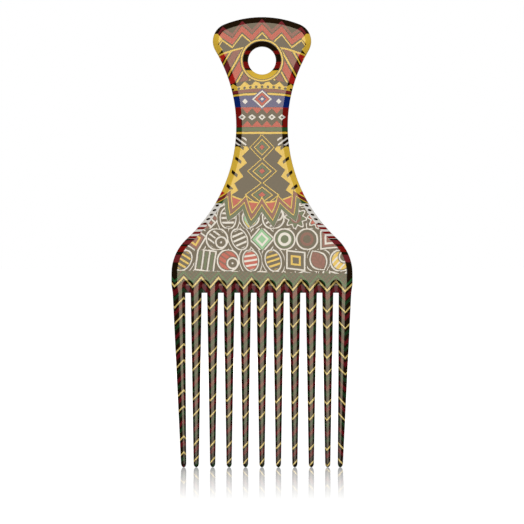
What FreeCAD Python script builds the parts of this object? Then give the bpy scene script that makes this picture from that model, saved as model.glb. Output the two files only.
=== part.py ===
"""Afro pick: a flared handle with a hanging hole, a tooth bar, and long tapered teeth.

Frame: millimetres, origin at the centre of the hanging hole, +Z up from the teeth to the head,
front towards -Y. The moulding is bevelled on both faces around a flat edge band, and its
sections meet face to face.
"""

import FreeCAD
import Part

import math
import os

# Driving dimensions, millimetres

overall_length = 178.0        # tooth tips to the crown of the head
plate_thickness = 5.0         # front face to back face of handle and tooth bar
edge_band = 2.2               # flat band left between the front and back bevels
rim_bevel = 2.2               # width of the bevel along the outline

head_width = 38.9             # widest part of the head
head_crown_radius = 40.0      # long arc over the top of the head
head_corner_radius = 7.2      # arcs at both sides of the head
hole_diameter = 11.0          # hanging hole
hole_drop = 17.2              # crown of the head to the centre of the hole
hole_bevel = 1.9              # width of the bevel around the hole

waist_width = 20.4            # narrowest part of the grip
waist_drop = 43.2             # crown of the head to the narrowest part of the grip
shoulder_radius = 18.7        # rounded shoulder of the tooth bar
shoulder_rise = 7.6           # tooth roots to where the shoulder arc begins
side_draw_in = 0.5            # how far the sides step in between shoulder and tooth roots
side_draw_height = 3.3        # height of that step above the tooth roots

tooth_count = 11              # end teeth included
tooth_pitch = 6.5             # between neighbouring tooth axes
tooth_length = 69.0           # root to tip
root_gap = 2.1                # opening between two teeth at their roots
tip_width = 2.0               # tooth width that the taper has at the very tip
tip_thickness = 2.2           # tooth thickness there
nose_radius = 0.8             # ball at the end of a tooth
nose_length = 3.0             # stretch over which the ball runs out into the tooth
nose_ease = 0.1               # how far the nose starts outside the tooth's corners
end_tooth_width = 5.0         # root width of the two outer teeth
end_tip_pitch = 4.95          # tip of an end tooth to the tip of its neighbour

gap_bevel = 1.1               # width of the bevel along each side of a gap
arch_rise = 5.0               # gap end to the top of the arched bevel above it
web_fall = 0.6                # how far the web inside that arch slopes away, on each face

cut_margin = 1.0              # how far a cutting tool runs past what it cuts

# Sizes that follow

crown_z = hole_drop
tip_z = crown_z - overall_length
root_z = tip_z + tooth_length
waist_z = crown_z - waist_drop
shoulder_z = root_z + shoulder_rise
draw_z = root_z + side_draw_height
half_plate = plate_thickness / 2
half_band = edge_band / 2
bevel_depth = half_plate - half_band
half_waist = waist_width / 2
hole_radius = hole_diameter / 2
root_width = tooth_pitch - root_gap
inner_count = tooth_count - 2
last_inner_x = (inner_count - 1) / 2 * tooth_pitch
end_inner_x = last_inner_x + root_width / 2 + root_gap
end_outer_x = end_inner_x + end_tooth_width
half_width = end_outer_x + side_draw_in
end_tip_x = last_inner_x + end_tip_pitch

ORIGIN = FreeCAD.Vector(0, 0, 0)
RIGHT = FreeCAD.Vector(1, 0, 0)
BACK = FreeCAD.Vector(0, 1, 0)
UP = FreeCAD.Vector(0, 0, 1)


def direction(start, end):
    """Unit vector in the XZ plane from one point to another."""
    dx, dz = end[0] - start[0], end[1] - start[1]
    length = math.hypot(dx, dz)
    return dx / length, dz / length


def step(point, way, distance):
    """The point a distance along a direction of the XZ plane."""
    return point[0] + way[0] * distance, point[1] + way[1] * distance


def reverse(way):
    """The opposite direction."""
    return -way[0], -way[1]


def head_corner_centre():
    """Centre of the right head corner arc, tangent inside the crown arc."""
    x = head_width / 2 - head_corner_radius
    reach = head_crown_radius - head_corner_radius
    return x, crown_centre[1] + math.sqrt(reach**2 - x**2)


def flare_radius(corner, corner_radius):
    """Radius of the grip's hollow arc, upright at the waist and tangent to a corner arc."""
    across = half_waist - corner[0]
    along = waist_z - corner[1]
    return (across**2 + along**2 - corner_radius**2) / (2 * (corner_radius - across))


# Arc centres of the outline's right half, and the directions in which they meet

crown_centre = (0.0, crown_z - head_crown_radius)
head_corner = head_corner_centre()
shoulder_corner = (half_width - shoulder_radius, shoulder_z)
upper_flare_radius = flare_radius(head_corner, head_corner_radius)
lower_flare_radius = flare_radius(shoulder_corner, shoulder_radius)
upper_flare = (half_waist + upper_flare_radius, waist_z)
lower_flare = (half_waist + lower_flare_radius, waist_z)
outwards, inwards = (1.0, 0.0), (-1.0, 0.0)
shoulder_way = direction(shoulder_corner, lower_flare)
head_way = direction(head_corner, upper_flare)
crown_way = direction(crown_centre, head_corner)

# The handle ends where its concave side turns into the convex shoulder

handle_end_z = step(shoulder_corner, shoulder_way, shoulder_radius)[1]


def on_plane(point, y):
    """A point of the XZ plane, at depth y."""
    return FreeCAD.Vector(point[0], y, point[1])


def line_edge(start, end, y):
    """Straight edge between two XZ points."""
    return Part.LineSegment(on_plane(start, y), on_plane(end, y)).toShape()


def arc_edge(centre, radius, start_way, end_way, y):
    """Arc of under half a turn about a centre, from one direction to another."""
    middle_way = direction(reverse(start_way), end_way)
    points = [on_plane(step(centre, way, radius), y) for way in (start_way, middle_way, end_way)]
    return Part.Arc(*points).toShape()


def side_edges(inset, y):
    """Right side of the outline, roots to crown, moved inwards by inset."""
    root = (end_outer_x - inset, root_z)
    draw = (half_width - inset, draw_z)
    spring = (half_width - inset, shoulder_z)
    return [
        line_edge(root, draw, y),
        line_edge(draw, spring, y),
        arc_edge(shoulder_corner, shoulder_radius - inset, outwards, shoulder_way, y),
        arc_edge(lower_flare, lower_flare_radius + inset, reverse(shoulder_way), inwards, y),
        arc_edge(upper_flare, upper_flare_radius + inset, inwards, reverse(head_way), y),
        arc_edge(head_corner, head_corner_radius - inset, head_way, crown_way, y),
    ]


def outline(inset, y):
    """Closed outline of handle and tooth bar, moved inwards by inset, at depth y."""
    right = side_edges(inset, y)
    left = [edge.mirror(ORIGIN, RIGHT) for edge in reversed(right)]
    across = (-crown_way[0], crown_way[1])
    crown = arc_edge(crown_centre, head_crown_radius - inset, crown_way, across, y)
    base_x = end_outer_x - inset
    base = line_edge((-base_x, root_z), (base_x, root_z), y)
    return Part.Wire(right + [crown] + left + [base])


def past_face(width):
    """Bevel width carried on past the face, so that a tool clears it."""
    return width * (bevel_depth + cut_margin) / bevel_depth


def hole_tool():
    """Hanging hole with a bevel on each face."""
    deep = half_plate + cut_margin
    wide = hole_radius + past_face(hole_bevel)
    tool = Part.makeCylinder(hole_radius, 2 * deep, BACK * -deep, BACK)
    for way in (1, -1):
        base = BACK * (way * half_band)
        tool = tool.fuse(Part.makeCone(hole_radius, wide, deep - half_band, base, BACK * way))
    return tool


def arch_wire(centre_x, half_gap, y):
    """Slot outline with a round top, over the end of a gap."""
    foot_z = root_z - cut_margin
    spring = (centre_x, root_z + arch_rise - gap_bevel - root_gap / 2)
    left, right = centre_x - half_gap, centre_x + half_gap
    top = (centre_x, spring[1] + half_gap)
    arc = [on_plane(point, y) for point in ((left, spring[1]), top, (right, spring[1]))]
    return Part.Wire([
        line_edge((left, foot_z), (left, spring[1]), y),
        Part.Arc(*arc).toShape(),
        line_edge((right, spring[1]), (right, foot_z), y),
        line_edge((right, foot_z), (left, foot_z), y),
    ])


def arch_tool(centre_x, way):
    """Arched hollow above one gap: bevelled walls round a web that slopes away to the gap's end."""
    narrowing = web_fall * gap_bevel / bevel_depth
    floor = arch_wire(centre_x, root_gap / 2 - narrowing, way * (half_band - web_fall))
    face = arch_wire(centre_x, root_gap / 2 + past_face(gap_bevel), way * (half_plate + cut_margin))
    return Part.makeLoft([floor, face], True, True).common(over_web(centre_x, way))


def over_web(centre_x, way):
    """The space in front of a web: level with the edge band under the arch, deeper at the gap's end."""
    rise = arch_rise - gap_bevel - root_gap / 2
    foot_z, top_z = root_z - cut_margin, root_z + rise
    foot = half_band - web_fall * (top_z - foot_z) / rise
    outer, high_z = half_plate + 2 * cut_margin, root_z + arch_rise + past_face(gap_bevel)
    profile = [(half_band, top_z), (foot, foot_z), (outer, foot_z), (outer, high_z), (half_band, high_z)]
    left = centre_x - tooth_pitch / 2
    corners = [FreeCAD.Vector(left, way * y, z) for y, z in profile + profile[:1]]
    return Part.Face(Part.makePolygon(corners)).extrude(RIGHT * tooth_pitch)


def gap_centres():
    """Middle of every gap between two teeth, at the roots."""
    inner = [(i - (inner_count - 2) / 2) * tooth_pitch for i in range(inner_count - 1)]
    outer_x = last_inner_x + root_width / 2 + root_gap / 2
    return [-outer_x] + inner + [outer_x]


def plate():
    """Handle and tooth bar in one, before they are parted."""
    stations = [(rim_bevel, -half_plate), (0, -half_band), (0, half_band), (rim_bevel, half_plate)]
    body = Part.makeLoft([outline(inset, y) for inset, y in stations], True, True)
    body = body.removeSplitter().cut(hole_tool())
    for centre_x in gap_centres():
        for way in (1, -1):
            body = body.cut(arch_tool(centre_x, way))
    return body


def between(solid, low_z, high_z):
    """The stretch of a solid between two heights."""
    size = 2 * (overall_length + half_width)
    slab = Part.makeBox(size, size, high_z - low_z, FreeCAD.Vector(-size / 2, -size / 2, low_z))
    return solid.common(slab).Solids[0]


def section(z, left, right, half, bevels, share):
    """Eight corners of a tooth at one height, counted round from the front face's left end.

    Each bevel keeps its slope: at a share of its root width it has that share of its depth.
    """
    band = half - bevel_depth * share
    face_left = left + bevels[0] * share
    face_right = right - bevels[1] * share
    corners = [
        (face_left, -half), (face_right, -half), (right, -band), (right, band),
        (face_right, half), (face_left, half), (left, band), (left, -band),
    ]
    return [FreeCAD.Vector(x, y, z) for x, y in corners]


def flat_sided(low, high):
    """Solid with flat faces between two rings of corners."""
    faces = [Part.Face(Part.makePolygon(ring + ring[:1])) for ring in (low, high)]
    for i in range(len(low)):
        quad = [low[i - 1], low[i], high[i], high[i - 1]]
        faces.append(Part.Face(Part.makePolygon(quad + quad[:1])))
    return Part.Solid(Part.Shell(faces))


def nose(tip_x, reach):
    """Tool a tooth's end is trimmed to: a ball that runs out into a cone, open above it."""
    rise = nose_length - nose_radius
    lean = math.atan2(reach, rise) - math.asin(nose_radius / math.hypot(reach, rise))
    ball = (tip_x, tip_z + nose_radius)
    leave_way = (math.cos(lean), -math.sin(lean))
    far_x, rim_z, top_z = tip_x + reach + half_width, tip_z + nose_length, root_z + cut_margin
    corners = [
        step(ball, leave_way, nose_radius), (tip_x + reach, rim_z), (far_x, rim_z),
        (far_x, top_z), (tip_x, top_z), (tip_x, tip_z),
    ]
    edges = [line_edge(start, end, 0.0) for start, end in zip(corners, corners[1:])]
    edges.insert(0, arc_edge(ball, nose_radius, (0.0, -1.0), leave_way, 0.0))
    return Part.Face(Part.Wire(edges)).revolve(RIGHT * tip_x, UP, 360)


def tooth(root_left, root_right, bevels, tip_x):
    """One tooth: bevelled section, tapered both ways, with a rounded nose at tip_x."""
    share = tip_width / (root_right - root_left)
    half_tip = tip_width / 2
    root = section(root_z, root_left, root_right, half_plate, bevels, 1.0)
    tip = section(tip_z, tip_x - half_tip, tip_x + half_tip, tip_thickness / 2, bevels, share)
    nose_rim = [t + (r - t) * (nose_length / tooth_length) for t, r in zip(tip, root)]
    reach = max(math.hypot(v.x - tip_x, v.y) for v in nose_rim) + nose_ease
    return flat_sided(tip, root).common(nose(tip_x, reach)).Solids[0]


def inner_tooth(index):
    """A straight tooth between the end teeth, counted from the left."""
    x = index * tooth_pitch - last_inner_x
    return tooth(x - root_width / 2, x + root_width / 2, (gap_bevel, gap_bevel), x)


def end_tooth(side):
    """Left (-1) or right (1) end tooth, which leans in towards its tip."""
    if side < 0:
        return tooth(-end_outer_x, -end_inner_x, (rim_bevel, gap_bevel), -end_tip_x)
    return tooth(end_inner_x, end_outer_x, (gap_bevel, rim_bevel), end_tip_x)


def main():
    """Build every section and write one STEP file for each."""
    whole = plate()
    pieces = {
        "handle": between(whole, handle_end_z, crown_z + cut_margin),
        "tooth_bar": between(whole, root_z, handle_end_z),
        "end_tooth_left": end_tooth(-1),
        "end_tooth_right": end_tooth(1),
    }
    for index in range(inner_count):
        pieces[f"tooth_{index + 2:02d}"] = inner_tooth(index)
    os.makedirs("parts", exist_ok=True)
    for name, shape in pieces.items():
        shape.exportStep(f"parts/{name}.step")


main()
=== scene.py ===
"""Afro pick: rounded plastic mouldings under a lacquered wrap print, in a plain white studio.

Lengths of meshes are metres, and those of the print are millimetres, both from the centre of
the hanging hole: X to the right as the front is seen, Y to the back, Z up.
"""

import logging
import math
from dataclasses import dataclass, field
from enum import Enum
from typing import Any, Union

import bmesh
import bpy
from mathutils import Matrix, Vector


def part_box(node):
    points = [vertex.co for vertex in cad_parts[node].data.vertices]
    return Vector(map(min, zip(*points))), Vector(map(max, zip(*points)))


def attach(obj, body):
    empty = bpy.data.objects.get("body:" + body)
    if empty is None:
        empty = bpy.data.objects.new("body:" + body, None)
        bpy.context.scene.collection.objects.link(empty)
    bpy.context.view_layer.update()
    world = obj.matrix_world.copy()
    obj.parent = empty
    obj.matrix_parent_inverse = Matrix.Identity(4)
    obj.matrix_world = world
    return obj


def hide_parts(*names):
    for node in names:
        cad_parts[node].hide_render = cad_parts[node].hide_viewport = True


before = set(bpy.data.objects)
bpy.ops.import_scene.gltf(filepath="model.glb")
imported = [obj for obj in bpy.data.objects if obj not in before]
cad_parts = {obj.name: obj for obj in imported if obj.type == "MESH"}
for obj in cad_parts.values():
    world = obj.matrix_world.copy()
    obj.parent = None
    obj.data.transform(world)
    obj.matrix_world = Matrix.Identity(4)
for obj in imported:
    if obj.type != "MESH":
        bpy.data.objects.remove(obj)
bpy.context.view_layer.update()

LOG = logging.getLogger("afro_pick")
MM = 0.001
BODY = "root"
TURN = 2 * math.pi
SMOOTH_ANGLE = math.radians(35)
FACE_WEIGHT = 80

Colour = tuple[float, float, float]


class Ink(Enum):
    """Inks of the wrap print, as linear colours."""

    BLACK = (0.013, 0.007, 0.003)
    MAROON = (0.150, 0.018, 0.024)
    WINE = (0.108, 0.007, 0.012)
    CRIMSON = (0.170, 0.006, 0.005)
    RED = (0.360, 0.013, 0.011)
    YELLOW = (0.600, 0.410, 0.050)
    STRAW = (0.640, 0.520, 0.200)
    GREEN = (0.018, 0.066, 0.022)
    PINE = (0.012, 0.043, 0.016)
    FERN = (0.018, 0.096, 0.032)
    OLIVE = (0.015, 0.030, 0.018)
    MINT = (0.160, 0.430, 0.240)
    SKY = (0.200, 0.520, 0.640)
    BLUE = (0.003, 0.016, 0.145)
    WHITE = (0.600, 0.605, 0.620)


class Signal:
    """A number that varies over a surface: arithmetic on it adds Math nodes."""

    def __init__(self, graph: "Graph", socket: bpy.types.NodeSocket) -> None:
        """Keep the graph that the number belongs to, and the socket that gives it."""
        self.graph = graph
        self.socket = socket

    def __add__(self, other: "Value") -> "Signal":
        """Sum."""
        return self.graph.math("ADD", self, other)

    __radd__ = __add__

    def __sub__(self, other: "Value") -> "Signal":
        """Difference."""
        return self.graph.math("SUBTRACT", self, other)

    def __rsub__(self, other: "Value") -> "Signal":
        """Difference, taken from a plain number."""
        return self.graph.math("SUBTRACT", other, self)

    def __mul__(self, other: "Value") -> "Signal":
        """Product."""
        return self.graph.math("MULTIPLY", self, other)

    __rmul__ = __mul__

    def __truediv__(self, other: "Value") -> "Signal":
        """Quotient."""
        return self.graph.math("DIVIDE", self, other)

    def __rtruediv__(self, other: "Value") -> "Signal":
        """Quotient of a plain number by this one."""
        return self.graph.math("DIVIDE", other, self)

    def __abs__(self) -> "Signal":
        """Size without sign."""
        return self.graph.math("ABSOLUTE", self)

    def __floor__(self) -> "Signal":
        """Whole part, rounded down."""
        return self.graph.math("FLOOR", self)


Value = Union[Signal, float]
Paint = Union[Ink, bpy.types.NodeSocket]


@dataclass(frozen=True)
class Bands:
    """Inks in a row, each from one place along a scale to the next.

    Attributes:
        low: The value at which the first ink begins.
        high: The end of the scale.
        inks: Each ink with the value at which it begins, in rising order.
    """

    low: float
    high: float
    inks: tuple[tuple[float, Ink], ...]

    def stops(self) -> list[tuple[float, Colour]]:
        """The inks as stops of a colour ramp."""
        span = self.high - self.low
        return [((start - self.low) / span, ink.value) for start, ink in self.inks]


class Graph:
    """A node tree, and the few ways in which nodes are added to it.

    EDGE is the width over which one ink gives way to the next, millimetres.
    """

    EDGE = 0.09

    def __init__(self, tree: bpy.types.NodeTree) -> None:
        """Empty the tree and keep it."""
        tree.nodes.clear()
        self.tree = tree

    def node(self, kind: str, settings: dict[str, Any], inputs: dict[Any, Any]) -> bpy.types.Node:
        """Add any node.

        Args:
            kind: Blender's name of the node's type.
            settings: Properties set before the inputs; stops fills a colour ramp.
            inputs: Values or links of the node's sockets, by name or number.

        Returns:
            The node.
        """
        made = self.tree.nodes.new(kind)
        for name, value in settings.items():
            if name == "stops":
                self.fill_ramp(made.color_ramp, value)
            else:
                setattr(made, name, value)
        for key, value in inputs.items():
            if isinstance(value, Signal):
                value = value.socket
            if isinstance(value, bpy.types.NodeSocket):
                self.tree.links.new(value, made.inputs[key])
            else:
                made.inputs[key].default_value = value
        return made

    @staticmethod
    def fill_ramp(ramp: bpy.types.ColorRamp, stops: list[tuple[float, Colour]]) -> None:
        """Give a colour ramp hard stops.

        Args:
            ramp: The ramp, as Blender makes it.
            stops: Places from 0 to 1 and linear colours, in rising order.
        """
        ramp.interpolation = "CONSTANT"
        ramp.elements.remove(ramp.elements[1])
        for index, (place, colour) in enumerate(stops):
            stop = ramp.elements[0] if index == 0 else ramp.elements.new(place)
            stop.position = place
            stop.color = (*colour, 1.0)

    def math(self, operation: str, *values: Value) -> Signal:
        """Add a Math node on one to three values."""
        made = self.node("ShaderNodeMath", {"operation": operation}, dict(enumerate(values)))
        return Signal(self, made.outputs[0])

    def below(self, value: Signal, edge: float, soft: float = EDGE) -> Signal:
        """Mask of the places where a value is under an edge.

        Args:
            value: The value.
            edge: Where the mask is one half.
            soft: Width of the step.

        Returns:
            The mask, 1 under the edge and 0 over it.
        """
        ends = {"Value": value, "From Min": edge + soft / 2, "From Max": edge - soft / 2}
        return Signal(self, self.node("ShaderNodeMapRange", {"clamp": True}, ends).outputs[0])

    def between(self, value: Signal, low: float, high: float) -> Signal:
        """Mask of the places where a value lies between two edges."""
        return self.below(abs(value - (low + high) / 2), (high - low) / 2)

    def wave(self, value: Signal, half: float) -> Signal:
        """Triangle wave that rises from 0 to half and falls again."""
        return self.math("PINGPONG", value, half)

    def centred(self, value: Signal, period: float) -> Signal:
        """Place within a repeat, from minus to plus half its period."""
        return self.math("WRAP", value, period / 2, -period / 2)

    def length(self, across: Signal, along: Signal) -> Signal:
        """Distance of a point from the origin of its two coordinates."""
        return self.math("SQRT", self.math("MULTIPLY_ADD", across, across, along * along))

    def banded(self, value: Signal, bands: Bands) -> bpy.types.NodeSocket:
        """Colour of the band that a value falls in.

        Args:
            value: The value.
            bands: The bands, on the value's scale.

        Returns:
            The colour.
        """
        place = (value - bands.low) / (bands.high - bands.low)
        ramp = self.node("ShaderNodeValToRGB", {"stops": bands.stops()}, {"Fac": place})
        return ramp.outputs["Color"]

    def paint(self, under: Paint, over: Paint, mask: Signal) -> bpy.types.NodeSocket:
        """Lay one colour over another.

        Args:
            under: The colour beneath.
            over: The colour on top.
            mask: How much of the top colour covers, from 0 to 1.

        Returns:
            The colour that shows.
        """
        pair = [(*c.value, 1.0) if isinstance(c, Ink) else c for c in (under, over)]
        inputs = {0: mask, 6: pair[0], 7: pair[1]}
        return self.node("ShaderNodeMix", {"data_type": "RGBA"}, inputs).outputs[2]


def new_material(name: str) -> tuple[bpy.types.Material, Graph]:
    """Start a material, and hand it over with its empty graph.

    Args:
        name: The material's name.

    Returns:
        The material and its graph.
    """
    material = bpy.data.materials.new(name)
    material.use_nodes = True
    return material, Graph(material.node_tree)


@dataclass(frozen=True)
class Grain:
    """A noise texture.

    Attributes:
        scale: Blotches per metre.
        detail: Octaves of finer noise in them.
        roughness: How strong the finer noise is.
    """

    scale: float
    detail: float
    roughness: float = 0.5

    def node(self, graph: Graph, place: bpy.types.NodeSocket) -> bpy.types.Node:
        """Add the texture's node.

        Args:
            graph: The material's nodes.
            place: Object coordinates.

        Returns:
            The node.
        """
        inputs = {
            "Vector": place, "Scale": self.scale, "Detail": self.detail, "Roughness": self.roughness,
        }
        return graph.node("ShaderNodeTexNoise", {}, inputs)


@dataclass(frozen=True)
class Lacquer:
    """Clear gloss over the print: how smooth it is, and how its surface ripples.

    Attributes:
        roughness: Roughness where the lacquer is smoothest.
        haze: Added roughness where it is dullest.
        mottle: Share by which the ink's density varies.
        cloud: Broad change of the haze and of the ink.
        grain: Fine change of the ink.
        ripple: Ripples of the lacquer.
        ripple_height: Their height, metres.
        ripple_strength: How much they turn the light.
    """

    roughness: float = 0.07
    haze: float = 0.07
    mottle: float = 0.16
    cloud: Grain = Grain(260.0, 4.0)
    grain: Grain = Grain(5200.0, 2.0)
    ripple: Grain = Grain(625.0, 1.0, 0.4)
    ripple_height: float = 0.02 * MM
    ripple_strength: float = 0.22

    def coat(self, graph: Graph, place: bpy.types.NodeSocket, colour: bpy.types.NodeSocket) -> None:
        """Finish a material with lacquer over its print.

        Args:
            graph: The material's nodes.
            place: Object coordinates.
            colour: The print's colour.
        """
        cloud, grain, ripple = (
            texture.node(graph, place) for texture in (self.cloud, self.grain, self.ripple)
        )
        cloud_level = Signal(graph, cloud.outputs["Fac"])
        grain_level = Signal(graph, grain.outputs["Fac"])
        density = 1 + (cloud_level * 0.5 + grain_level * 0.5 - 0.5) * (2 * self.mottle)
        inked = graph.node(
            "ShaderNodeVectorMath", {"operation": "SCALE"}, {0: colour, "Scale": density},
        )
        bump = graph.node(
            "ShaderNodeBump", {},
            {"Height": ripple.outputs["Fac"], "Distance": self.ripple_height,
             "Strength": self.ripple_strength},
        )
        plastic = graph.node(
            "ShaderNodeBsdfPrincipled", {},
            {"Base Color": inked.outputs[0], "Roughness": self.roughness + cloud_level * self.haze,
             "Normal": bump.outputs[0]},
        )
        graph.node("ShaderNodeOutputMaterial", {}, {"Surface": plastic.outputs[0]})


@dataclass(frozen=True)
class Fan:
    """Shoulder print: a dark fan with a toothed edge, then rows of motifs on white.

    Attributes:
        centre: Height of the fan's centre.
        tooth_turn: Share of a turn that one tooth of the edge takes up.
        tooth_depth: Depth of those teeth.
        edge: Inks across the toothed edge, by distance from the centre.
        spike_start: Distance at which the filled tips inside the teeth begin.
        spike_line: Width of the line at that start.
        margin: Distance at which motifs may begin, along the toothed edge.
        first_row: Height at which the rows begin, counted upwards.
        row_height: Height of a row.
        cell_width: Width of one motif's cell.
        stagger: Share of a cell by which a row is shifted against the next.
        draws: Seeds of the lots that are drawn for a cell.
        motif_scale: Size of the motifs over the size that they are drawn at.
        lean: Most that a motif leans to either side, radians.
        outline: Width of the dark line round a motif.
        halo: Width of the white ground round a motif.
        echo_pitch: Distance from one echo of a motif's outline to the next.
        echo_line: Width of the dark lines that echo it.
        motif_inks: Inks that the motifs take, by lot.
        mark_inks: Inks that the lines inside them take, by lot.
    """

    centre: float = -28.0
    tooth_turn: float = 1 / 26
    tooth_depth: float = 6.4
    edge: Bands = Bands(20.0, 40.0, (
        (20.0, Ink.BLACK), (25.6, Ink.YELLOW), (26.35, Ink.BLACK), (26.7, Ink.MAROON),
        (28.3, Ink.BLACK), (28.6, Ink.YELLOW), (29.2, Ink.BLACK), (29.5, Ink.GREEN),
        (31.4, Ink.BLACK), (31.75, Ink.WHITE),
    ))
    spike_start: float = 28.4
    spike_line: float = 0.55
    margin: float = 32.0
    first_row: float = -83.2
    row_height: float = 8.4
    cell_width: float = 8.9
    stagger: float = 0.5
    draws: tuple[float, float] = (12.0, 41.0)
    motif_scale: float = 1.58
    lean: float = 0.9
    outline: float = 0.36
    halo: float = 0.6
    echo_pitch: float = 1.8
    echo_line: float = 1.38
    motif_inks: Bands = Bands(0.0, 1.0, (
        (0.0, Ink.BLACK), (0.48, Ink.MAROON), (0.62, Ink.GREEN), (0.74, Ink.MINT),
        (0.82, Ink.RED), (0.89, Ink.SKY), (0.95, Ink.YELLOW),
    ))
    mark_inks: Bands = Bands(0.0, 1.0, (
        (0.0, Ink.WHITE), (0.40, Ink.YELLOW), (0.78, Ink.WINE),
    ))


@dataclass(frozen=True)
class Chevrons:
    """Stripes that run down the teeth in one zigzag.

    Attributes:
        half_period: Half the width of a zigzag.
        slope: Height over width of its flanks.
        offset: How far its valleys lie to the left of the tooth axes.
        stretch: How much the zigzag widens towards the end teeth.
        tilt: How much lower the right side is than the left, over the distance between.
        first_line: Height of the first yellow line's valley in the middle.
        line_width: Width of that line.
        root_wine: Distances below that line between which the roots are red.
        repeat: Distance after which the stripes come again.
        repeat_start: First line to the first pair of yellow lines.
        stripes: Inks of one repeat, by share of it.
    """

    half_period: float = 3.235
    slope: float = 1.22
    offset: float = 0.85
    stretch: float = 3.5e-5
    tilt: float = 0.028
    first_line: float = -89.8
    line_width: float = 0.92
    root_wine: tuple[float, float] = (2.0, 4.2)
    repeat: float = 18.2
    repeat_start: float = 8.4
    stripes: Bands = Bands(0.0, 1.0, (
        (0.0, Ink.STRAW), (0.040, Ink.BLACK), (0.11, Ink.WINE), (0.21, Ink.BLACK),
        (0.350, Ink.STRAW), (0.390, Ink.BLACK), (0.46, Ink.PINE), (0.54, Ink.BLACK),
        (0.65, Ink.WINE), (0.74, Ink.BLACK), (0.80, Ink.PINE), (0.88, Ink.BLACK),
    ))


class Motifs:
    """Motifs of the shoulder print, drawn about the middle of a cell.

    Each is a pair: the distance from its edge, under zero inside it, and the same for the lines
    that are drawn within it. Its sizes are those before the print scales it.
    """

    def __init__(self, graph: Graph, across: Signal, along: Signal) -> None:
        """Keep the place in the cell, and the distances that several motifs share.

        Args:
            graph: The material's nodes.
            across: Place across the motif, from its middle.
            along: Place along it.
        """
        self.graph = graph
        self.across, self.along = across, along
        self.wide, self.high = abs(across), abs(along)
        self.reach = graph.length(across, along)

    def larger(self, first: Value, *others: Value) -> Signal:
        """Largest of some values.

        Args:
            first: A value.
            others: The other values.

        Returns:
            The largest.
        """
        for other in others:
            first = self.graph.math("MAXIMUM", first, other)
        return first

    def crossbars(self, pitch: float, half_line: float) -> Signal:
        """Lines across a motif, a pitch apart."""
        return abs(self.graph.centred(self.along, pitch)) - half_line

    def lens(self) -> tuple[Signal, Signal]:
        """Pointed oval with a line down its middle and slanting lines beside it.

        Returns:
            Its edge and its lines.
        """
        half_width, narrowing, half_spine = 1.85, 0.26, 0.15
        slant, pitch, half_line = 0.9, 1.15, 0.17
        edge = self.wide + self.high * self.high * narrowing - half_width
        lines = abs(self.graph.centred(self.along - self.wide * slant, pitch)) - half_line
        return edge, self.graph.math("MINIMUM", self.wide - half_spine, lines)

    def scallop(self) -> tuple[Signal, Signal]:
        """Disc with eight lobes and a ring in its middle.

        Returns:
            Its edge and its lines.
        """
        lobes, depth, radius = 8.0, 0.45, 2.1
        ring, half_line = 1.0, 0.3
        angle = self.graph.math("ARCTAN2", self.across, self.along)
        edge = self.reach - self.graph.math("COSINE", angle * lobes) * depth - radius
        return edge, abs(self.reach - ring) - half_line

    def oval(self) -> tuple[Signal, Signal]:
        """Long oval with stripes across it.

        Returns:
            Its edge and its lines.
        """
        slimness, half_length = 1.4, 2.55
        pitch, half_line = 1.2, 0.24
        edge = self.graph.length(self.across * slimness, self.along) - half_length
        return edge, self.crossbars(pitch, half_line)

    def target(self) -> tuple[Signal, Signal]:
        """Disc with a ring in it."""
        radius, ring, half_line = 2.4, 1.35, 0.34
        return self.reach - radius, abs(self.reach - ring) - half_line

    def ribbon(self) -> tuple[Signal, Signal]:
        """Zigzag ribbon with a line along its middle.

        Returns:
            Its edge and its lines.
        """
        half_wave, slope, shift = 1.3, 1.3, 0.85
        half_width, half_length, half_line = 1.05, 2.6, 0.25
        from_middle = abs(self.across - self.graph.wave(self.along, half_wave) * slope + shift)
        edge = self.larger(from_middle - half_width, self.high - half_length)
        return edge, from_middle - half_line

    def lozenge(self) -> tuple[Signal, Signal]:
        """Diamond with a smaller outline inside it.

        Returns:
            Its edge and its lines.
        """
        aspect, half_length, steepness = 1.1, 3.0, 0.7
        outline, half_line = 1.5, 0.35
        from_middle = self.wide * aspect + self.high
        return (from_middle - half_length) * steepness, abs(from_middle - outline) - half_line

    def strokes(self) -> tuple[Signal, Signal]:
        """Three bars side by side, with nothing drawn in them.

        Returns:
            Its edge and its lines.
        """
        pitch, half_bar, half_length, half_width = 1.5, 0.56, 2.4, 2.06
        no_line = 1.0
        from_bar = abs(self.graph.centred(self.across, pitch))
        edge = self.larger(from_bar - half_bar, self.high - half_length, self.wide - half_width)
        return edge, from_bar + no_line

    def crescent(self) -> tuple[Signal, Signal]:
        """Disc with a round bite out of its side and a few lines across it.

        Returns:
            Its edge and its lines.
        """
        radius, bite_radius, bite_place = 2.5, 1.5, 1.3
        pitch, half_line = 1.2, 0.2
        bite = bite_radius - self.graph.length(self.across - bite_place, self.along)
        return self.larger(self.reach - radius, bite), self.crossbars(pitch, half_line)

    def chosen(self, lot: Signal) -> tuple[Signal, Signal]:
        """The motif that a lot from 0 to 1 falls on.

        Args:
            lot: The lot.

        Returns:
            Its edge and its lines.
        """
        motifs = (
            self.lens, self.scallop, self.oval, self.target,
            self.ribbon, self.lozenge, self.strokes, self.crescent,
        )
        short_of_end, tolerance = 0.001, 0.1
        pick = math.floor(lot * (len(motifs) - short_of_end))
        edge, mark = 0.0, 0.0
        for index, draw in enumerate(motifs):
            here = self.graph.math("COMPARE", pick, float(index), tolerance)
            own_edge, own_mark = draw()
            edge = self.graph.math("MULTIPLY_ADD", own_edge, here, edge)
            mark = self.graph.math("MULTIPLY_ADD", own_mark, here, mark)
        return edge, mark


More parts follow.
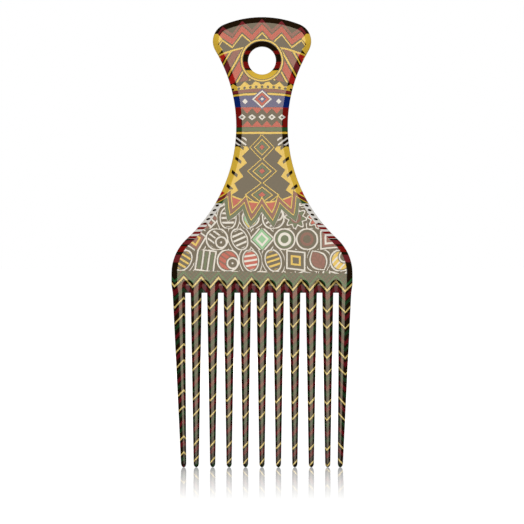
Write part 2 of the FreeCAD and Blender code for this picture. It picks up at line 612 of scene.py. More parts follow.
class WrapPrint:
    """Print that is laid over the pick from the front and from the back, by X and Z alone.

    Its lines wander a little, within WANDER_REACH millimetres.
    """

    WANDER = Grain(240.0, 1.0)
    WANDER_REACH = 0.34

    def __init__(self, name: str, lacquer: Lacquer) -> None:
        """Start a material, and read the place on the pick in millimetres.

        Args:
            name: The material's name.
            lacquer: What covers the print.
        """
        self.material, self.graph = new_material(name)
        self.lacquer = lacquer
        self.place = self.graph.node("ShaderNodeTexCoord", {}, {}).outputs["Object"]
        wander = self.WANDER.node(self.graph, self.place)
        drift = self.graph.node("ShaderNodeSeparateColor", {}, {"Color": wander.outputs["Color"]})
        axes = self.graph.node("ShaderNodeSeparateXYZ", {}, {"Vector": self.place})
        self.x, self.z = (
            Signal(self.graph, axes.outputs[axis]) / MM
            + (Signal(self.graph, drift.outputs[channel]) - 0.5) * self.WANDER_REACH
            for axis, channel in (("X", "Red"), ("Z", "Green"))
        )
        self.side = abs(self.x)

    def finish(self, colour: bpy.types.NodeSocket) -> bpy.types.Material:
        """Lacquer the print and hand over its material."""
        self.lacquer.coat(self.graph, self.place, colour)
        return self.material

    def fan_place(self, layout: Fan) -> tuple[Signal, Signal]:
        """Where a place lies on the fan.

        Args:
            layout: The fan's sizes.

        Returns:
            Distance from the fan's centre, and that distance counted along the toothed edge.
        """
        drop = layout.centre - self.z
        reach = self.graph.length(self.x, drop)
        turn = self.graph.math("ARCTAN2", self.x, drop) / TURN
        half_turn = layout.tooth_turn / 2
        tooth = self.graph.wave(turn, half_turn) * (layout.tooth_depth / half_turn)
        return reach, reach - tooth

    def fan(self, layout: Fan, edge: Signal) -> bpy.types.NodeSocket:
        """Colour of the shoulder print.

        Args:
            layout: Its sizes and inks.
            edge: Distance from the fan's centre, counted along the toothed edge.

        Returns:
            The colour, dark inside the fan and white with motifs outside it.
        """
        graph = self.graph
        row_place = (self.z - layout.first_row) / layout.row_height
        row = math.floor(row_place)
        cell_place = self.x / layout.cell_width + row * layout.stagger
        cell = math.floor(cell_place)
        across = (cell_place - cell - 0.5) * layout.cell_width
        along = (row_place - row - 0.5) * layout.row_height

        lots = [self.lots(cell, row, draw) for draw in layout.draws]
        angle = (lots[0][2] - 0.5) * (2 * layout.lean)
        scale = layout.motif_scale
        sine, cosine = graph.math("SINE", angle) / scale, graph.math("COSINE", angle) / scale
        motifs = Motifs(graph, across * cosine - along * sine, across * sine + along * cosine)
        shape, mark = motifs.chosen(lots[0][0])

        open_ground = 1 - graph.below(edge, layout.margin)
        colour = graph.banded(edge, layout.edge)
        colour = graph.paint(colour, Ink.BLACK, graph.below(shape, 0.0) * open_ground)
        inner = graph.below(shape, -layout.outline / scale) * open_ground
        colour = graph.paint(colour, graph.banded(lots[0][1], layout.motif_inks), inner)
        mark_ink = graph.banded(lots[1][0], layout.mark_inks)
        colour = graph.paint(colour, mark_ink, graph.below(mark, 0.0) * inner)

        away = shape * scale - layout.halo
        half_line = layout.echo_line / 2
        echo = graph.between(graph.centred(away - half_line, layout.echo_pitch), -half_line, half_line)
        echo = echo * (1 - graph.below(away, -Graph.EDGE))
        return graph.paint(colour, Ink.BLACK, echo * open_ground)

    def lots(self, cell: Signal, row: Signal, draw: float) -> list[Signal]:
        """Three numbers from 0 to 1 that belong to a cell, different for each draw.

        Args:
            cell: Number of the cell in its row.
            row: Number of the row.
            draw: Seed of the draw.

        Returns:
            The numbers.
        """
        key = self.graph.node("ShaderNodeCombineXYZ", {}, {"X": cell, "Y": row, "Z": draw})
        lot = self.graph.node(
            "ShaderNodeTexWhiteNoise", {"noise_dimensions": "3D"}, {"Vector": key.outputs[0]},
        )
        drawn = self.graph.node("ShaderNodeSeparateColor", {}, {"Color": lot.outputs["Color"]})
        return [Signal(self.graph, socket) for socket in drawn.outputs]

    def zigzag(self, layout: Chevrons) -> Signal:
        """How far a place lies below the first yellow line.

        Args:
            layout: The stripes' sizes.

        Returns:
            The distance, negative above the line.
        """
        offset = self.x + layout.offset
        eased = offset - offset * offset * offset * layout.stretch
        rise = self.graph.wave(eased, layout.half_period) * layout.slope
        return rise + layout.first_line - self.z - self.x * layout.tilt

    def chevrons(self, layout: Chevrons, below: Signal) -> bpy.types.NodeSocket:
        """Colour of the chevron stripes.

        Args:
            layout: Their sizes and inks.
            below: Distance below the first yellow line.

        Returns:
            The colour.
        """
        share = self.graph.math("FRACT", (below - layout.repeat_start) / layout.repeat)
        colour = self.graph.banded(share, layout.stripes)
        return self.graph.paint(colour, Ink.WINE, self.graph.between(below, *layout.root_wine))


@dataclass(frozen=True)
class Zigzag:
    """Row of pointed teeth along a line.

    Attributes:
        half: Half the width of a tooth.
        slope: Height over width of its flanks.
    """

    half: float
    slope: float

    def rise(self, graph: Graph, along: Signal) -> Signal:
        """Height of the teeth over their valleys."""
        return graph.wave(along, self.half) * self.slope


@dataclass(frozen=True)
class Flare:
    """Side of the grip and shoulder: an arc that widens from the waist.

    Attributes:
        radius: Radius of the arc.
        half_waist: Half the width of the waist.
        waist: Height of the waist.
    """

    radius: float = 60.26
    half_waist: float = 10.2
    waist: float = -26.0

    def rim(self, wrap: WrapPrint) -> Signal:
        """Distance of a place from the side, inwards."""
        centre = self.radius + self.half_waist
        return wrap.graph.length(centre - wrap.side, wrap.z - self.waist) - self.radius


@dataclass(frozen=True)
class HeadPrint:
    """Print of the head: zigzags under the crown, slanting stripes beside the hole, and bands.

    Levels are heights that follow the crown's curve.

    Attributes:
        crown_radius: Radius of that curve.
        curve_heights: Heights between which levels turn from straight to curved.
        bands: Inks of the bands, by level.
        dot_level: Level of a row of dots on them.
        dot_pitch: Distance from one dot to the next.
        dot_radius: Their radius.
        teeth_level: Level of the valleys of the yellow teeth on the bands.
        teeth_base: Level at which these teeth stand.
        teeth: Their shape.
        slant_levels: Levels between which the slanting stripes lie.
        slant_across: How fast the stripes change across the head.
        slant_up: How fast they change up it.
        slant_repeat: Distance after which they come again.
        slants: Their inks, by share of a repeat.
        rule_levels: Levels between which a yellow line divides stripes and zigzags.
        zigzag: Shape of the zigzags.
        zigzag_drop: Level from which their inks are counted.
        zigzags: Their inks, by distance from there to a valley.
        lobe_side: Distance from the middle at which the yellow sides begin.
        lobe_heights: Heights between which they lie.
        lobe: Shape of their border.
    """

    crown_radius: float = 40.0
    curve_heights: tuple[float, float] = (-20.0, -8.0)
    bands: Bands = Bands(-30.0, 20.0, (
        (-30.0, Ink.BLACK), (-29.05, Ink.YELLOW), (-28.35, Ink.BLACK), (-28.0, Ink.GREEN),
        (-26.5, Ink.BLACK), (-18.5, Ink.BLUE), (-13.9, Ink.BLACK), (-13.6, Ink.YELLOW),
        (-12.95, Ink.BLACK), (-12.6, Ink.MAROON), (-11.4, Ink.BLACK), (-11.1, Ink.YELLOW),
        (-9.6, Ink.BLACK),
    ))
    dot_level: float = -10.4
    dot_pitch: float = 2.3
    dot_radius: float = 0.56
    teeth_level: float = -10.0
    teeth_base: float = -9.7
    teeth: Zigzag = Zigzag(2.3, 0.95)
    slant_levels: tuple[float, float] = (-7.6, 5.6)
    slant_across: float = 0.86
    slant_up: float = 0.5
    slant_repeat: float = 8.2
    slants: Bands = Bands(0.0, 1.0, (
        (0.0, Ink.YELLOW), (0.08, Ink.BLACK), (0.13, Ink.MAROON), (0.41, Ink.BLACK),
        (0.47, Ink.YELLOW), (0.54, Ink.BLACK), (0.60, Ink.RED), (0.92, Ink.BLACK),
    ))
    rule_levels: tuple[float, float] = (5.2, 5.9)
    zigzag: Zigzag = Zigzag(3.9, 1.05)
    zigzag_drop: float = 2.0
    zigzags: Bands = Bands(0.0, 20.0, (
        (0.0, Ink.BLACK), (8.5, Ink.YELLOW), (9.2, Ink.BLACK), (9.9, Ink.RED), (12.3, Ink.BLACK),
        (12.9, Ink.MAROON), (14.3, Ink.BLACK),
    ))
    lobe_side: float = 15.6
    lobe_heights: tuple[float, float] = (0.5, 10.5)
    lobe: Zigzag = Zigzag(2.1, 0.9)

    def colour(self, wrap: WrapPrint) -> bpy.types.NodeSocket:
        """Colour of the head, and of the bands below it.

        Args:
            wrap: The print that it belongs to.

        Returns:
            The colour.
        """
        graph, x, z, side = wrap.graph, wrap.x, wrap.z, wrap.side
        straight, curved = self.curve_heights
        ease = graph.node(
            "ShaderNodeMapRange", {"clamp": True}, {"Value": z, "From Min": straight, "From Max": curved},
        )
        level = z + x * x * Signal(graph, ease.outputs[0]) / (2 * self.crown_radius)
        colour = graph.banded(level, self.bands)
        dot = graph.length(graph.centred(x, self.dot_pitch), level - self.dot_level)
        colour = graph.paint(colour, Ink.BLACK, graph.below(dot, self.dot_radius))
        teeth = level - self.teeth_level - self.teeth.rise(graph, x)
        toothed = graph.below(teeth, 0.0) * (1 - graph.below(level, self.teeth_base))
        colour = graph.paint(colour, Ink.YELLOW, toothed)

        slant = (side * self.slant_across + z * self.slant_up) / self.slant_repeat
        stripes = graph.banded(graph.math("FRACT", slant), self.slants)
        colour = graph.paint(colour, stripes, graph.between(level, *self.slant_levels))
        peaks = level + self.zigzag.rise(graph, x) - self.zigzag_drop
        upper = 1 - graph.below(level, self.slant_levels[1])
        colour = graph.paint(colour, graph.banded(peaks, self.zigzags), upper)
        colour = graph.paint(colour, Ink.YELLOW, graph.between(level, *self.rule_levels))
        lobes = 1 - graph.below(side - self.lobe.rise(graph, z), self.lobe_side)
        return graph.paint(colour, Ink.YELLOW, lobes * graph.between(z, *self.lobe_heights))


@dataclass(frozen=True)
class HolePrint:
    """Print round the hanging hole: a ring on the face, and a rim on the bevel.

    Attributes:
        ring: Inks of the ring, by distance from the hole's centre.
        ring_radius: Where it ends.
        rim: Inks of the rim, by height: print, with the yellow at its foot a painted highlight.
        rim_radius: Where it ends.
    """

    ring: Bands = Bands(7.0, 9.0, (
        (7.0, Ink.BLACK), (7.75, Ink.YELLOW), (8.35, Ink.BLACK),
    ))
    ring_radius: float = 8.8
    # The yellow at the foot of the bevel rim is a painted highlight; the dark and crimson bands above it
    # are print.
    rim: Bands = Bands(-9.0, 9.0, (
        (-9.0, Ink.YELLOW), (-4.0, Ink.BLACK), (-3.2, Ink.CRIMSON), (-0.6, Ink.BLACK),
        (2.4, Ink.CRIMSON), (3.8, Ink.BLACK),
    ))
    rim_radius: float = 7.5

    def lay(self, wrap: WrapPrint, under: bpy.types.NodeSocket) -> bpy.types.NodeSocket:
        """Lay the ring and the rim over a colour.

        Args:
            wrap: The print that it belongs to.
            under: The colour beneath.

        Returns:
            The colour that shows.
        """
        graph = wrap.graph
        reach = graph.length(wrap.x, wrap.z)
        colour = graph.paint(under, graph.banded(reach, self.ring), graph.below(reach, self.ring_radius))
        # The rim on the bevel: print, with a painted highlight in yellow at its foot.
        return graph.paint(colour, graph.banded(wrap.z, self.rim), graph.below(reach, self.rim_radius))


@dataclass(frozen=True)
class NeckPrint:
    """Print of the neck: diamonds on the blue band, and a toothed red band with a row of small ones.

    Attributes:
        red_heights: Heights between which the red band lies.
        red_reach: Its middle to the valleys of its teeth.
        red_teeth: Shape of the teeth.
        red_side: Distance from the pick's middle past which the band is plain.
        row_level: Height of the row of small diamonds, which is the red band's middle.
        row_pitch: Distance from one of them to the next.
        row_aspect: Their height over their width.
        row_half: Half their height.
        row_core: Half the height of their dark cores.
        pair_side: Distance from the pick's middle of the two diamonds on the blue band.
        pair_level: Their height on the pick.
        pair_half: Half their size.
        large_level: Height on the pick of the large diamond between them.
        large_aspect: Its height over its width.
        large_half: Half its height.
        large: Its inks, by distance from its centre.
    """

    red_heights: tuple[float, float] = (-26.3, -18.6)
    red_reach: float = 3.55
    red_teeth: Zigzag = Zigzag(1.95, 1.1)
    red_side: float = 8.2
    row_level: float = -22.45
    row_pitch: float = 3.9
    row_aspect: float = 0.8
    row_half: float = 1.2
    row_core: float = 0.5
    pair_side: float = 6.6
    pair_level: float = -16.2
    pair_half: float = 1.1
    large_level: float = -15.3
    large_aspect: float = 0.9
    large_half: float = 4.1
    large: Bands = Bands(0.0, 10.0, (
        (0.0, Ink.WHITE), (0.6, Ink.BLUE), (1.5, Ink.RED), (2.6, Ink.BLACK), (2.85, Ink.WHITE),
        (3.5, Ink.BLUE),
    ))

    def lay(self, wrap: WrapPrint, under: bpy.types.NodeSocket) -> bpy.types.NodeSocket:
        """Lay the red band and the diamonds over a colour.

        Args:
            wrap: The print that it belongs to.
            under: The colour beneath.

        Returns:
            The colour that shows.
        """
        graph, x, z, side = wrap.graph, wrap.x, wrap.z, wrap.side
        inside = graph.between(z, *self.red_heights)
        from_row = abs(z - self.row_level)
        teeth = from_row + self.red_teeth.rise(graph, x)
        colour = graph.paint(under, Ink.RED, (1 - graph.below(teeth, self.red_reach)) * inside)
        colour = graph.paint(colour, Ink.CRIMSON, (1 - graph.below(side, self.red_side)) * inside)
        small = abs(graph.centred(x, self.row_pitch)) * self.row_aspect + from_row
        colour = graph.paint(colour, Ink.WHITE, graph.below(small, self.row_half))
        colour = graph.paint(colour, Ink.BLACK, graph.below(small, self.row_core))
        pair = abs(side - self.pair_side) + abs(z - self.pair_level)
        colour = graph.paint(colour, Ink.WHITE, graph.below(pair, self.pair_half))
        large = side * self.large_aspect + abs(z - self.large_level)
        return graph.paint(colour, graph.banded(large, self.large), graph.below(large, self.large_half))


@dataclass(frozen=True)
class GripPrint:
    """Print of the grip: a chain of diamonds between yellow flanks.

    Attributes:
        flare: The grip's side.
        heights: Heights between which the chain lies.
        chain_level: Height of the middle of one diamond.
        chain: Shape of their sides.
        chain_width: Width of the chain at the hanging hole, over the width it is drawn at.
        chain_widening: How much that changes over a millimetre upwards.
        diamonds: Inks of a diamond, by distance from its middle.
        flank_heights: Heights between which the flanks lie.
        flank_width: Their width at the valleys of their teeth.
        flank_teeth: Shape of these teeth.
        slant: How much the dashes and bars slope on their way in from the side.
        dash_pitch: Distance from one dark dash on the flanks to the next.
        dash_half: Half the width of a dash.
        dash_reach: Distances from the side between which it runs.
        bar_heights: Heights between which white bars lie above the flanks.
        bar_pitch: Distance from one bar to the next.
        bar_half: Half the width of a bar.
        bar_reach: Distance from the side to which it runs.
    """

    flare: Flare
    heights: tuple[float, float] = (-60.0, -29.3)
    chain_level: float = -34.3
    chain: Zigzag = Zigzag(4.7, 0.9)
    chain_width: float = 0.30
    chain_widening: float = -0.022
    diamonds: Bands = Bands(0.0, 10.0, (
        (0.0, Ink.RED), (0.9, Ink.BLACK), (1.3, Ink.GREEN), (2.2, Ink.BLACK), (2.6, Ink.YELLOW),
        (3.0, Ink.BLACK), (4.3, Ink.YELLOW), (4.65, Ink.BLACK),
    ))
    flank_heights: tuple[float, float] = (-60.0, -34.0)
    flank_width: float = 3.4
    flank_teeth: Zigzag = Zigzag(2.7, 0.9)
    slant: float = 0.7
    dash_pitch: float = 5.4
    dash_half: float = 0.6
    dash_reach: tuple[float, float] = (0.9, 3.6)
    bar_heights: tuple[float, float] = (-33.6, -30.4)
    bar_pitch: float = 1.9
    bar_half: float = 0.36
    bar_reach: float = 4.4

    def lay(self, wrap: WrapPrint, under: bpy.types.NodeSocket) -> bpy.types.NodeSocket:
        """Lay the chain, the flanks and the bars over a colour.

        Args:
            wrap: The print that it belongs to.
            under: The colour beneath.

        Returns:
            The colour that shows.
        """
        graph, z = wrap.graph, wrap.z
        width = z * self.chain_widening + self.chain_width
        chain = wrap.side / width + self.chain.rise(graph, z - self.chain_level)
        colour = graph.paint(under, graph.banded(chain, self.diamonds), graph.between(z, *self.heights))
        rim = self.flare.rim(wrap)
        teeth = rim - self.flank_teeth.rise(graph, z)
        yellow = graph.below(teeth, self.flank_width) * graph.between(z, *self.flank_heights)
        colour = graph.paint(colour, Ink.YELLOW, yellow)
        sloped = z + rim * self.slant
        dash = graph.between(graph.centred(sloped, self.dash_pitch), -self.dash_half, self.dash_half)
        dash = dash * graph.between(rim, *self.dash_reach)
        colour = graph.paint(colour, Ink.BLACK, dash * yellow)
        bar = graph.between(graph.centred(sloped, self.bar_pitch), -self.bar_half, self.bar_half)
        bar = bar * graph.below(rim, self.bar_reach)
        return graph.paint(colour, Ink.WHITE, bar * graph.between(z, *self.bar_heights))


@dataclass(frozen=True)
class ShoulderPrint:
    """Upper part of the shoulder print, with the edging along its bevel.

    Attributes:
        flare: The shoulder's side.
        fan: The print that runs on over the tooth bar.
        fan_top: Height below which the fan's edge may lie.
        spike_top: Height below which the filled tips may lie.
        spike_gap: Between a filled tip and the first line of the fan's edge.
        border_top: Height at which the edging begins.
        border_width: Its width.
        border_stretch: Its length over its height on the pick.
        dot_pitch: Distance from one dot or dash of the edging to the next.
        dot_place: Distance of the dots from the side.
        dot_radius: Their radius.
        dash_top: Height at which red dashes begin.
        dash_half: Half the width of a dash.
    """

    flare: Flare
    fan: Fan
    fan_top: float = -40.0
    spike_top: float = -45.0
    spike_gap: float = 0.25
    border_top: float = -56.5
    border_width: float = 2.3
    border_stretch: float = 1.34
    dot_pitch: float = 2.4
    dot_place: float = 1.1
    dot_radius: float = 0.6
    dash_top: float = -64.5
    dash_half: float = 0.62

    def lay(self, wrap: WrapPrint, under: bpy.types.NodeSocket) -> bpy.types.NodeSocket:
        """Lay the fan, its filled tips and the edging over a colour.

        Args:
            wrap: The print that it belongs to.
            under: The colour beneath.

        Returns:
            The colour that shows.
        """
        graph, z, fan = wrap.graph, wrap.z, self.fan
        reach, edge = wrap.fan_place(fan)
        first_line = fan.edge.inks[1][0]
        outside = (1 - graph.below(edge, first_line)) * graph.below(z, self.fan_top)
        colour = graph.paint(under, wrap.fan(fan, edge), outside)
        tip = graph.below(edge, first_line - self.spike_gap) * graph.below(z, self.spike_top)
        spike = tip * (1 - graph.below(reach, fan.spike_start - fan.spike_line))
        colour = graph.paint(colour, Ink.YELLOW, spike)
        colour = graph.paint(colour, Ink.RED, tip * (1 - graph.below(reach, fan.spike_start)))

        rim = self.flare.rim(wrap)
        border = graph.below(rim, self.border_width) * graph.below(z, self.border_top)
        colour = graph.paint(colour, Ink.WHITE, border)
        place = graph.centred(z * self.border_stretch, self.dot_pitch)
        dot = graph.length(place, rim - self.dot_place)
        colour = graph.paint(colour, Ink.BLACK, graph.below(dot, self.dot_radius) * border)
        dashes = graph.between(place, -self.dash_half, self.dash_half) * graph.below(z, self.dash_top)
        return graph.paint(colour, Ink.CRIMSON, dashes * border)


@dataclass(frozen=True)
class HandlePrint:
    """Print of the handle, from the crown of the head down into the shoulder.

    Attributes:
        lacquer: What covers the print.
        fan: The shoulder print.
    """

    lacquer: Lacquer
    fan: Fan

    def material(self) -> bpy.types.Material:
        """Make the handle's material.

        Returns:
            The material, lacquered.
        """
        wrap = WrapPrint("handle_print", self.lacquer)
        flare = Flare()
        colour = HeadPrint().colour(wrap)
        for stretch in (HolePrint(), NeckPrint(), GripPrint(flare), ShoulderPrint(flare, self.fan)):
            colour = stretch.lay(wrap, colour)
        return wrap.finish(colour)


@dataclass(frozen=True)
class BarPrint:
    """Print of the tooth bar: the lower shoulder, the root band and the first chevrons.

    Attributes:
        lacquer: What covers the print.
        fan: The shoulder print.
        chevrons: The stripes that begin at the roots.
        band_top: Height of the root band's upper edge in the middle.
        band_tilt: How much lower the right side is than the left, over the distance between.
        hatch_pitch: Between the lines of the band's hatching.
        hatch_line: Width of a line, measured across the pick.
        hatch_strength: How much of the band's colour a line covers.
        green_line: Distances below the first yellow line between which a green one runs. Both are
            negative, and black lies between the two lines.
        half_width: Half the bar's width.
        shoulder_radius: Radius of its shoulders.
        shoulder_start: Height of their centres.
        edging_width: Width of the edging along the shoulders' bevel.
        edging: Its inks, by height.
    """

    lacquer: Lacquer
    fan: Fan
    chevrons: Chevrons
    band_top: float = -83.6
    band_tilt: float = 0.0175
    hatch_pitch: float = 1.25
    hatch_line: float = 0.5
    hatch_strength: float = 0.45
    green_line: tuple[float, float] = (-2.0, -1.0)
    half_width: float = 35.8
    shoulder_radius: float = 18.7
    shoulder_start: float = -84.2
    edging_width: float = 2.3
    edging: Bands = Bands(-95.0, -70.0, (
        (-95.0, Ink.BLACK), (-79.8, Ink.MAROON), (-76.8, Ink.BLACK), (-75.6, Ink.CRIMSON),
        (-73.4, Ink.BLACK), (-72.6, Ink.MAROON), (-71.0, Ink.BLACK),
    ))

    def material(self) -> bpy.types.Material:
        """Make the tooth bar's material.

        Returns:
            The material, lacquered.
        """
        wrap = WrapPrint("bar_print", self.lacquer)
        graph = wrap.graph
        colour = wrap.fan(self.fan, wrap.fan_place(self.fan)[1])
        colour = self.band(wrap, colour)
        colour = self.border(wrap, colour)
        below = wrap.zigzag(self.chevrons)
        colour = graph.paint(colour, Ink.BLACK, graph.between(below, self.green_line[1], 0.0))
        colour = graph.paint(colour, Ink.FERN, graph.between(below, *self.green_line))
        colour = graph.paint(colour, wrap.chevrons(self.chevrons, below), 1 - graph.below(below, 0.0))
        line = graph.between(below, 0.0, self.chevrons.line_width)
        return wrap.finish(graph.paint(colour, Ink.STRAW, line))

    def band(self, wrap: WrapPrint, under: bpy.types.NodeSocket) -> bpy.types.NodeSocket:
        """Lay the band over the roots, with its fine crossed hatching, over a colour.

        Args:
            wrap: The print that it belongs to.
            under: The colour beneath.

        Returns:
            The colour that shows.
        """
        graph, x, z = wrap.graph, wrap.x, wrap.z
        inside = graph.below(z + x * self.band_tilt, self.band_top)
        colour = graph.paint(under, Ink.OLIVE, inside)
        half = self.hatch_line / 2
        for ink, slant in ((Ink.FERN, z + x), (Ink.WINE, z - x)):
            lines = graph.between(graph.centred(slant, self.hatch_pitch * math.sqrt(2)), -half, half)
            colour = graph.paint(colour, ink, lines * inside * self.hatch_strength)
        return colour

    def border(self, wrap: WrapPrint, under: bpy.types.NodeSocket) -> bpy.types.NodeSocket:
        """Lay edging along the shoulder's bevel over a colour.

        Args:
            wrap: The print that it belongs to.
            under: The colour beneath.

        Returns:
            The colour that shows.
        """
        graph = wrap.graph
        centre = self.half_width - self.shoulder_radius
        across = graph.math("MAXIMUM", wrap.side - centre, 0.0)
        above = graph.math("MAXIMUM", wrap.z - self.shoulder_start, 0.0)
        rim = self.shoulder_radius - graph.length(across, above)
        return graph.paint(under, graph.banded(wrap.z, self.edging), graph.below(rim, self.edging_width))


@dataclass(frozen=True)
class ToothPrint:
    """Print of the teeth: chevrons to the very tips.

    Attributes:
        lacquer: What covers the print.
        chevrons: The stripes.
    """

    lacquer: Lacquer
    chevrons: Chevrons

    def material(self) -> bpy.types.Material:
        """Make the teeth's material.

        Returns:
            The material, lacquered.
        """
        wrap = WrapPrint("tooth_print", self.lacquer)
        below = wrap.zigzag(self.chevrons)
        colour = wrap.chevrons(self.chevrons, below)
        line = wrap.graph.between(below, 0.0, self.chevrons.line_width)
        return wrap.finish(wrap.graph.paint(colour, Ink.STRAW, line))


def make_object(name: str, bm: bmesh.types.BMesh, finish: bpy.types.Material) -> bpy.types.Object:
    """Turn a shape into an object of the scene.

    Args:
        name: The object's name.
        bm: Its shape, which is used up.
        finish: Its material.

    Returns:
        The object.
    """
    mesh = bpy.data.meshes.new(name)
    bm.to_mesh(mesh)
    bm.free()
    mesh.materials.append(finish)
    made = bpy.data.objects.new(name, mesh)
    bpy.context.scene.collection.objects.link(made)
    return made


def add_piece(name: str, bm: bmesh.types.BMesh, node: str, finish: bpy.types.Material) -> None:
    """Turn a shape into a piece that stands for a CAD node.

    Args:
        name: The piece's name.
        bm: Its shape, which is used up.
        node: The CAD node that it stands for.
        finish: Its material.
    """
    for edge in bm.edges:
        edge.smooth = edge.is_manifold and edge.calc_face_angle() < SMOOTH_ANGLE
    for face in bm.faces:
        face.smooth = True
    piece = make_object(name, bm, finish)
    even = piece.modifiers.new("even_normals", "WEIGHTED_NORMAL")
    even.keep_sharp = True
    even.weight = FACE_WEIGHT
    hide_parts(node)
    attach(piece, BODY)
    LOG.info("%s: %d faces, stands for %s", name, len(piece.data.polygons), node)


@dataclass
class Plate:
    """A section of the flat moulding, with the moulded softness of its edges.

    Attributes:
        node: The CAD node that gives its shape.
        slot: The record's material slot; not used.
        seams: Heights of the planes where it meets other sections, metres.
        rounding: Width of the rounded edges, metres.
        segments: Steps across a rounded edge.
        crease: Smallest angle between two faces whose edge is rounded, degrees.
        flatness: Largest angle between two faces that are taken for one, degrees.
        merge: Distance at which points are taken for one, metres.
        seam_width: Distance from a seam at which an edge no longer belongs to it, metres.
    """

    node: str
    slot: str
    seams: tuple[float, ...]
    rounding: float = 0.28 * MM
    segments: int = 3
    crease: float = 20.0
    flatness: float = 0.3
    merge: float = 0.001 * MM
    seam_width: float = 0.01 * MM

    def build(self, finish: bpy.types.Material) -> None:
        """Round the section's edges and dress it.

        Args:
            finish: Its material.
        """
        bm = bmesh.new()
        bm.from_mesh(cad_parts[self.node].data)
        bmesh.ops.remove_doubles(bm, verts=bm.verts, dist=self.merge)
        bmesh.ops.dissolve_limit(
            bm, angle_limit=math.radians(self.flatness), verts=bm.verts, edges=bm.edges,
        )
        sharp = [edge for edge in bm.edges if self.is_rounded(edge)]
        bmesh.ops.bevel(
            bm, geom=sharp, offset=self.rounding, offset_type="OFFSET", segments=self.segments,
            profile=0.5, affect="EDGES", material=-1, clamp_overlap=False, loop_slide=True,
        )
        bmesh.ops.dissolve_degenerate(bm, dist=self.merge, edges=bm.edges)
        add_piece(f"{self.node}_moulding", bm, self.node, finish)

    def is_rounded(self, edge: bmesh.types.BMEdge) -> bool:
        """Whether an edge is creased and lies off the planes where sections meet.

        Args:
            edge: The edge.

        Returns:
            True where it is rounded.
        """
        if not edge.is_manifold or edge.calc_face_angle() < math.radians(self.crease):
            return False
        heights = [vert.co.z for vert in edge.verts]
        return all(max(abs(z - seam) for z in heights) > self.seam_width for seam in self.seams)


@dataclass
class Tooth:
    """One tapered tooth with rounded corners and a bullet nose.

    Attributes:
        node: The CAD node that it stands for.
        left: Left side at the root, metres.
        right: Right side at the root.
        bevels: Widths of the bevels on its left and right sides at the root.
        tip: Place of its tip across the pick.
        root: Height of its root.
        end: Height of its tip.
        thickness: Front to back at the root.
        band: Flat band between the bevels at the root.
        tip_width: Width that the taper has at the tip.
        tip_thickness: Thickness there.
        nose: Length of the rounded nose.
        rounding: Width of the rounded corners at the root.
        segments: Steps across a rounded corner.
        shaft_rings: Steps from the root to the nose.
        nose_rings: Steps along the nose.
        nose_close: Share of the nose's quarter turn after which its tip closes it.
        slot: The record's material slot; not used.
    """

    node: str
    left: float
    right: float
    bevels: tuple[float, float]
    tip: float
    root: float = -91.8 * MM
    end: float = -160.8 * MM
    thickness: float = 5.0 * MM
    band: float = 2.2 * MM
    tip_width: float = 2.0 * MM
    tip_thickness: float = 2.2 * MM
    nose: float = 1.6 * MM
    rounding: float = 0.28 * MM
    segments: int = 3
    shaft_rings: int = 4
    nose_rings: int = 7
    nose_close: float = 0.97
    slot: str = "tooth_print"

    def build(self, finish: bpy.types.Material) -> None:
        """Draw the tooth down from its root section and dress it.

        Args:
            finish: Its material.
        """
        bm = bmesh.new()
        root_face = front = self.root_section(bm)
        place = self.root
        middle, width, depth = self.section_at(place, 1.0)
        for height, closing in self.stations():
            new_middle, new_width, new_depth = self.section_at(height, closing)
            made = bmesh.ops.extrude_face_region(bm, geom=[front])["geom"]
            if front is not root_face:
                bmesh.ops.delete(bm, geom=[front], context="FACES_ONLY")
            front = next(item for item in made if isinstance(item, bmesh.types.BMFace))
            to_axis = Matrix.Translation((-middle, 0, 0))
            scale = Matrix.Diagonal((new_width / width, new_depth / depth, 1, 1))
            back = Matrix.Translation((new_middle, 0, height - place))
            bmesh.ops.transform(bm, matrix=back @ scale @ to_axis, verts=front.verts[:])
            middle, place, width, depth = new_middle, height, new_width, new_depth
        bmesh.ops.pointmerge(bm, verts=front.verts[:], merge_co=Vector((self.tip, 0, self.end)))
        bmesh.ops.recalc_face_normals(bm, faces=bm.faces)
        add_piece(f"{self.node}_moulding", bm, self.node, finish)

    def root_section(self, bm: bmesh.types.BMesh) -> bmesh.types.BMFace:
        """Start the tooth with a face at its root.

        Args:
            bm: The empty shape.

        Returns:
            The face, with its corners rounded.
        """
        face_left, face_right = self.left + self.bevels[0], self.right - self.bevels[1]
        half, band = self.thickness / 2, self.band / 2
        corners = [
            (face_left, -half), (face_right, -half), (self.right, -band), (self.right, band),
            (face_right, half), (face_left, half), (self.left, band), (self.left, -band),
        ]
        section = bm.faces.new([bm.verts.new((x, y, self.root)) for x, y in corners])
        bmesh.ops.bevel(
            bm, geom=section.verts[:], offset=self.rounding, offset_type="OFFSET",
            segments=self.segments, profile=0.5, affect="VERTICES", material=-1, clamp_overlap=True,
        )
        bm.faces.ensure_lookup_table()
        return bm.faces[0]

    def section_at(self, height: float, closing: float) -> tuple[float, float, float]:
        """Section of the tooth at a height.

        Args:
            height: The height.
            closing: How far the nose has closed in there, 1 where it hasn't.

        Returns:
            Place of its middle across the pick, and its width and thickness over those of the root.
        """
        share = (self.root - height) / (self.root - self.end)
        taper = self.tip_width / (self.right - self.left)
        thinning = self.tip_thickness / self.thickness
        start = (self.left + self.right) / 2
        middle = start + (self.tip - start) * share
        width, depth = ((1 + (end - 1) * share) * closing for end in (taper, thinning))
        return middle, width, depth

    def stations(self) -> list[tuple[float, float]]:
        """Heights of the rings below the root, each with how far the nose has closed in there.

        Returns:
            The heights and shares, from the root down.
        """
        rim = self.end + self.nose
        steps = range(1, self.shaft_rings + 1)
        rings = [(self.root + (rim - self.root) * (step / self.shaft_rings), 1.0) for step in steps]
        for index in range(1, self.nose_rings + 1):
            angle = index / self.nose_rings * math.pi / 2 * self.nose_close
            rings.append((rim - self.nose * math.sin(angle), math.cos(angle)))
        return rings


